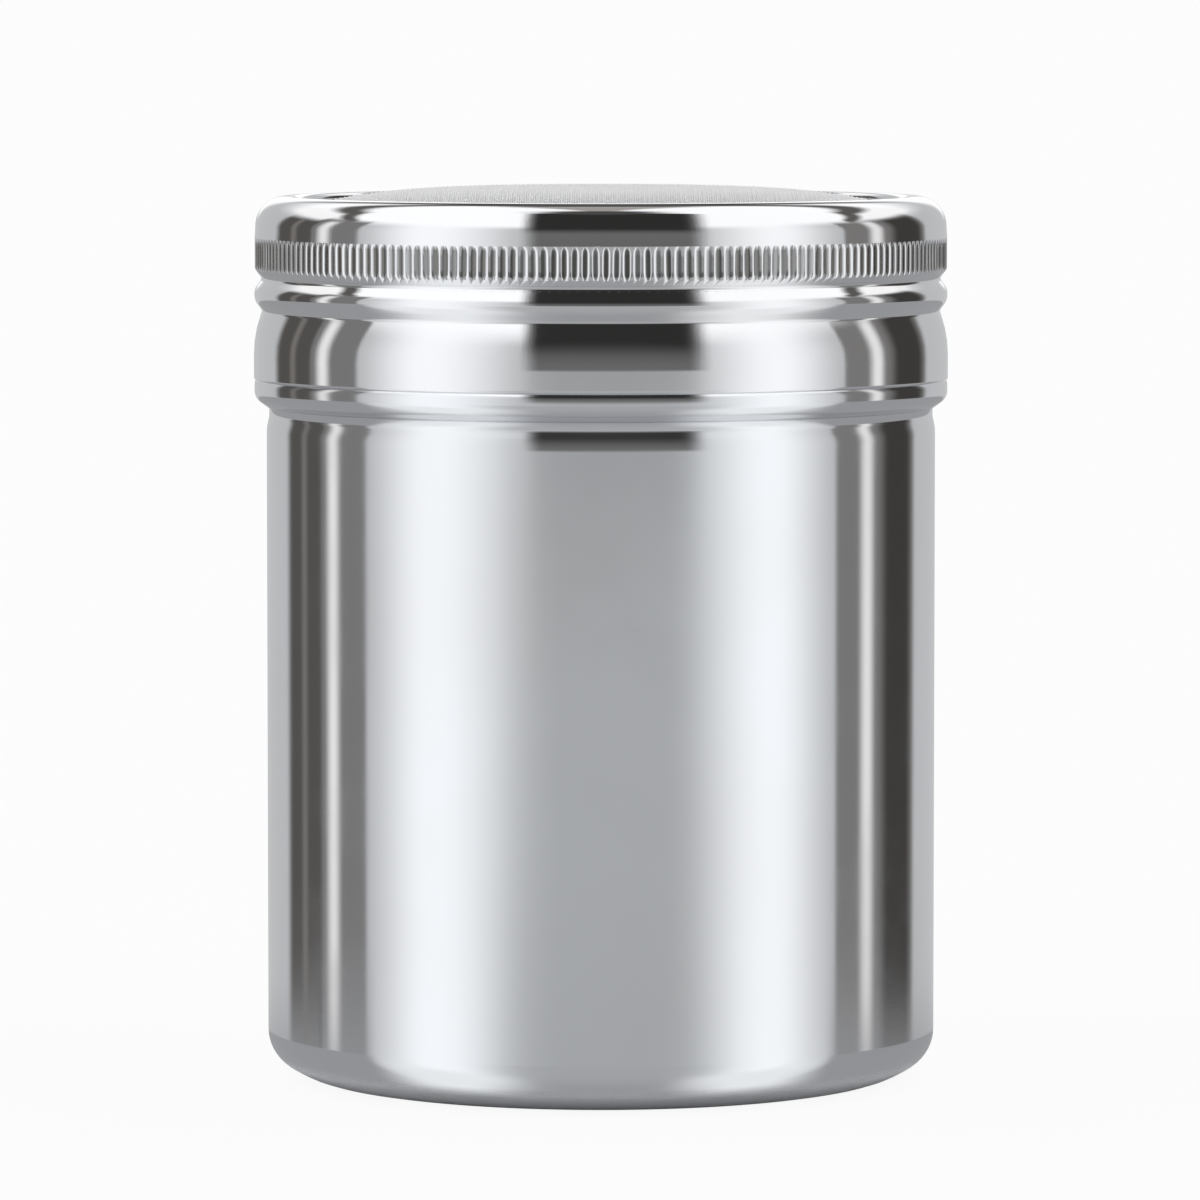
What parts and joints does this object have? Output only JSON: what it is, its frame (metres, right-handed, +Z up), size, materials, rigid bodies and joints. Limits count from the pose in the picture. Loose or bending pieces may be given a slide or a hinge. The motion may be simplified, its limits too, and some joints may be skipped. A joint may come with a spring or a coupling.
{
  "type": "chocolate shaker",
  "caption": "Polished steel powder shaker: a straight round canister with a screw lid that holds a woven mesh screen in its rolled rim.",
  "frame": {"origin": "middle of the base, in the plane that the shaker stands on", "axes": "+Z up along the turning axis, from the base to the lid"},
  "size_m": [0.07, 0.07, 0.0902],
  "materials": {
    "canister_steel": "polished, with a faint satin haze",
    "lid_steel": "mirror polished, with a knurled grip band",
    "ring_steel": "plain rolled",
    "rim_steel": "plain rolled",
    "wire_steel": "fine woven wire"
  },
  "bodies": {
    "canister": {"canister": "canister_steel"},
    "mesh_insert": {"mesh_screen": "wire_steel", "mesh_rim": "rim_steel"},
    "lid": {"lid_shell": "lid_steel", "retaining_ring": "ring_steel"}
  },
  "joints": [
    {"name": "lid_lift", "type": "slide", "parent": "canister", "child": "mesh_insert", "axis": [0, 0, 1], "range_m": [0, 0.01921]},
    {"name": "lid_turn", "type": "hinge", "parent": "mesh_insert", "child": "lid", "pos_m": [0, 0, 0.0707], "axis": [0, 0, 1], "range_deg": [0, 1080]}
  ],
  "couplings": [
    {"joint": "lid_lift", "follows": "lid_turn", "m_per_rad": 0.0010186}
  ]
}
